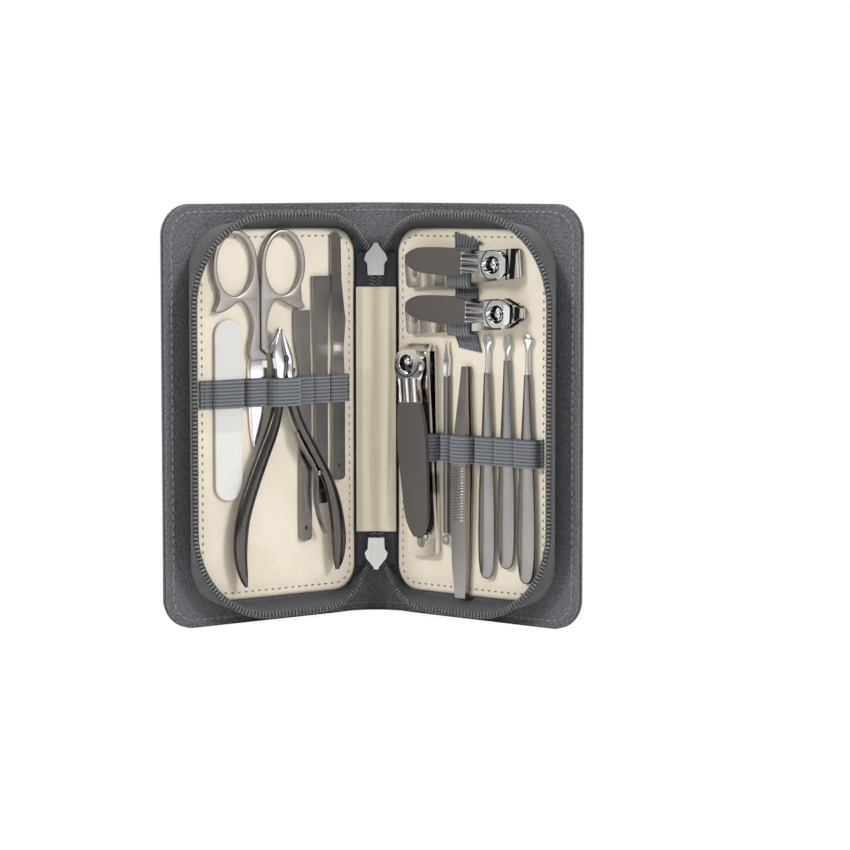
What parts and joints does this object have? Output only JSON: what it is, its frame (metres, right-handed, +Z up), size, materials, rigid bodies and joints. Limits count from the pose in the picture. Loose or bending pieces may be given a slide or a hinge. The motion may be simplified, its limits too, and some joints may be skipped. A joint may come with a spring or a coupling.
{
  "type": "manicure set case",
  "caption": "Zip-round leather manicure case standing open like a book, with clippers, scissors, nippers, tweezers, pushers, picks and a file held in elastic loops.",
  "frame": {"origin": "centre of the open case's bounding box, at the level of the bottom edges that it stands on", "axes": "+X to the right across the open case, +Y away from the reader towards the spine, +Z up"},
  "size_m": [0.1582, 0.0606, 0.16],
  "materials": {
    "grey_leather": "pebble-grained, matt",
    "cover_board": "dense black stiffener",
    "inner_leather": "fine-grained, matt",
    "cream_leather": "smooth, faint grain, padded",
    "twill": "fine dark twill",
    "zip_chain": "moulded coil, semi-matt",
    "elastic": "ribbed woven elastic",
    "slider_metal": "pale silver, satin",
    "gunmetal": "warm dark titanium-grey coating, satin",
    "chrome": "polished",
    "lever_enamel": "dark satin enamel",
    "frosted_glass": "frosted, translucent"
  },
  "bodies": {
    "spine": {"spine_leather": "grey_leather", "spine_lining": "cream_leather", "zip_tape_top": "twill", "zip_tape_bottom": "twill", "zip_stub_top": "zip_chain", "zip_stub_bottom": "zip_chain"},
    "left_half": {"left_cover_leather": "grey_leather", "left_cover_board": "cover_board", "left_cover_facing": "inner_leather", "left_panel": "cream_leather", "left_gusset": "twill", "left_zip_chain": "zip_chain", "left_elastic": "elastic"},
    "right_half": {"right_cover_leather": "grey_leather", "right_cover_board": "cover_board", "right_cover_facing": "inner_leather", "right_panel": "cream_leather", "right_gusset": "twill", "right_zip_chain": "zip_chain", "right_elastic": "elastic", "clipper_elastic": "elastic"},
    "slider_top": {"zip_slider_top": "slider_metal"},
    "slider_bottom": {"zip_slider_bottom": "slider_metal"},
    "pull_top": {"zip_pull_top": "grey_leather"},
    "pull_bottom": {"zip_pull_bottom": "grey_leather"},
    "file": {"nail_file": "frosted_glass"},
    "scissors": {"scissors_inner_half": "gunmetal", "scissors_screw": "gunmetal"},
    "scissors_outer": {"scissors_outer_half": "gunmetal"},
    "nippers": {"nippers_outer_half": "gunmetal", "nippers_pin": "gunmetal"},
    "nippers_inner": {"nippers_inner_half": "gunmetal", "nippers_spring": "gunmetal"},
    "wide_pusher": {"pusher_wide": "gunmetal"},
    "square_pusher": {"pusher_square": "gunmetal"},
    "round_pusher": {"pusher_round": "gunmetal"},
    "diamond_pick": {"pick_diamond": "gunmetal"},
    "chisel_pick": {"pick_chisel": "gunmetal"},
    "spoon_pick": {"pick_spoon": "gunmetal"},
    "blemish": {"blemish_tool": "gunmetal"},
    "tweezer": {"tweezers": "gunmetal"},
    "straight_clipper": {"straight_clipper_lower_leaf": "chrome", "straight_clipper_upper_leaf": "chrome", "straight_clipper_pin": "chrome"},
    "straight_lever": {"straight_clipper_lever": "lever_enamel"},
    "pointed_clipper": {"pointed_clipper_lower_leaf": "chrome", "pointed_clipper_upper_leaf": "chrome", "pointed_clipper_pin": "chrome"},
    "pointed_lever": {"pointed_clipper_lever": "lever_enamel"},
    "large_clipper": {"large_clipper_lower_leaf": "chrome", "large_clipper_upper_leaf": "chrome", "large_clipper_pin": "chrome"},
    "large_lever": {"large_clipper_lever": "lever_enamel"}
  },
  "joints": [
    {"name": "left_cover_hinge", "type": "hinge", "parent": "spine", "child": "left_half", "pos_m": [-0.0126, 0.02549, 0], "axis": [0, 0, -1], "range_deg": [-53, 37]},
    {"name": "right_cover_hinge", "type": "hinge", "parent": "spine", "child": "right_half", "pos_m": [0.0126, 0.02549, 0], "axis": [0, 0, 1], "range_deg": [-53, 37]},
    {"name": "top_slider_run", "type": "slide", "parent": "spine", "child": "slider_top", "axis": [0, 0, 1], "range_m": [0, 0.0025]},
    {"name": "bottom_slider_run", "type": "slide", "parent": "spine", "child": "slider_bottom", "axis": [0, 0, -1], "range_m": [0, 0.0025]},
    {"name": "top_pull_swing", "type": "hinge", "parent": "slider_top", "child": "pull_top", "pos_m": [0, 0.02754, 0.1382], "axis": [1, 0, 0], "range_deg": [-2.8, 1.2]},
    {"name": "bottom_pull_swing", "type": "hinge", "parent": "slider_bottom", "child": "pull_bottom", "pos_m": [0, 0.02754, 0.0233], "axis": [1, 0, 0], "range_deg": [-1.2, 2.8]},
    {"name": "file_draw", "type": "slide", "parent": "left_half", "child": "file", "axis": [0, 0, -1], "range_m": [0, 0.034]},
    {"name": "scissors_draw", "type": "slide", "parent": "left_half", "child": "scissors", "axis": [0.6018, -0.7986, 0], "range_m": [0, 0.04], "deforming": ["left_elastic"]},
    {"name": "nippers_draw", "type": "slide", "parent": "left_half", "child": "nippers", "axis": [0.4255, -0.5647, -0.7071], "range_m": [0, 0.05], "deforming": ["left_elastic"]},
    {"name": "wide_pusher_draw", "type": "slide", "parent": "left_half", "child": "wide_pusher", "axis": [0, 0, -1], "range_m": [0, 0.018], "deforming": ["left_elastic"]},
    {"name": "square_pusher_draw", "type": "slide", "parent": "left_half", "child": "square_pusher", "axis": [0, 0, 1], "range_m": [0, 0.017]},
    {"name": "round_pusher_draw", "type": "slide", "parent": "left_half", "child": "round_pusher", "axis": [0, 0, -1], "range_m": [0, 0.038], "deforming": ["left_elastic"]},
    {"name": "diamond_pick_draw", "type": "slide", "parent": "right_half", "child": "diamond_pick", "axis": [-0.5655, -0.7505, -0.342], "range_m": [0, 0.05], "deforming": ["right_elastic"]},
    {"name": "chisel_pick_draw", "type": "slide", "parent": "right_half", "child": "chisel_pick", "axis": [-0.5655, -0.7505, -0.342], "range_m": [0, 0.05], "deforming": ["right_elastic"]},
    {"name": "spoon_pick_draw", "type": "slide", "parent": "right_half", "child": "spoon_pick", "axis": [-0.5655, -0.7505, -0.342], "range_m": [0, 0.05], "deforming": ["right_elastic"]},
    {"name": "blemish_tool_draw", "type": "slide", "parent": "right_half", "child": "blemish", "axis": [-0.4255, -0.5647, -0.7071], "range_m": [0, 0.05], "deforming": ["right_elastic"]},
    {"name": "tweezers_draw", "type": "slide", "parent": "right_half", "child": "tweezer", "axis": [-0.4255, -0.5647, 0.7071], "range_m": [0, 0.05], "deforming": ["right_elastic"]},
    {"name": "large_clipper_draw", "type": "slide", "parent": "right_half", "child": "large_clipper", "axis": [-0.4255, -0.5647, -0.7071], "range_m": [0, 0.05], "deforming": ["right_elastic"]},
    {"name": "straight_clipper_draw", "type": "slide", "parent": "right_half", "child": "straight_clipper", "axis": [0.1392, -0.9903, 0], "range_m": [0, 0.05], "deforming": ["clipper_elastic"]},
    {"name": "pointed_clipper_draw", "type": "slide", "parent": "right_half", "child": "pointed_clipper", "axis": [0.1392, -0.9903, 0], "range_m": [0, 0.05], "deforming": ["clipper_elastic"]},
    {"name": "scissors_open", "type": "hinge", "parent": "scissors", "child": "scissors_outer", "pos_m": [-0.04483, -0.00368, 0.0895], "axis": [0.6018, -0.7986, 0], "range_deg": [0, 3]},
    {"name": "nippers_squeeze", "type": "hinge", "parent": "nippers", "child": "nippers_inner", "pos_m": [-0.03561, 0.0007, 0.099], "axis": [-0.6018, 0.7986, 0], "range_deg": [0, 3], "stiffness_Nm_per_rad": 0.3},
    {"name": "straight_lever_tilt", "type": "hinge", "parent": "straight_clipper", "child": "straight_lever", "pos_m": [0.04584, -0.01546, 0.13722], "axis": [0.0237, -0.0179, 0.9996], "range_deg": [0, 20]},
    {"name": "pointed_lever_tilt", "type": "hinge", "parent": "pointed_clipper", "child": "pointed_lever", "pos_m": [0.0475, -0.01671, 0.11875], "axis": [0.0251, -0.0189, 0.9995], "range_deg": [0, 20]},
    {"name": "large_lever_tilt", "type": "hinge", "parent": "large_clipper", "child": "large_lever", "pos_m": [0.01303, 0.00876, 0.09938], "axis": [-0.7982, 0.6015, -0.0314], "range_deg": [0, 20]}
  ]
}
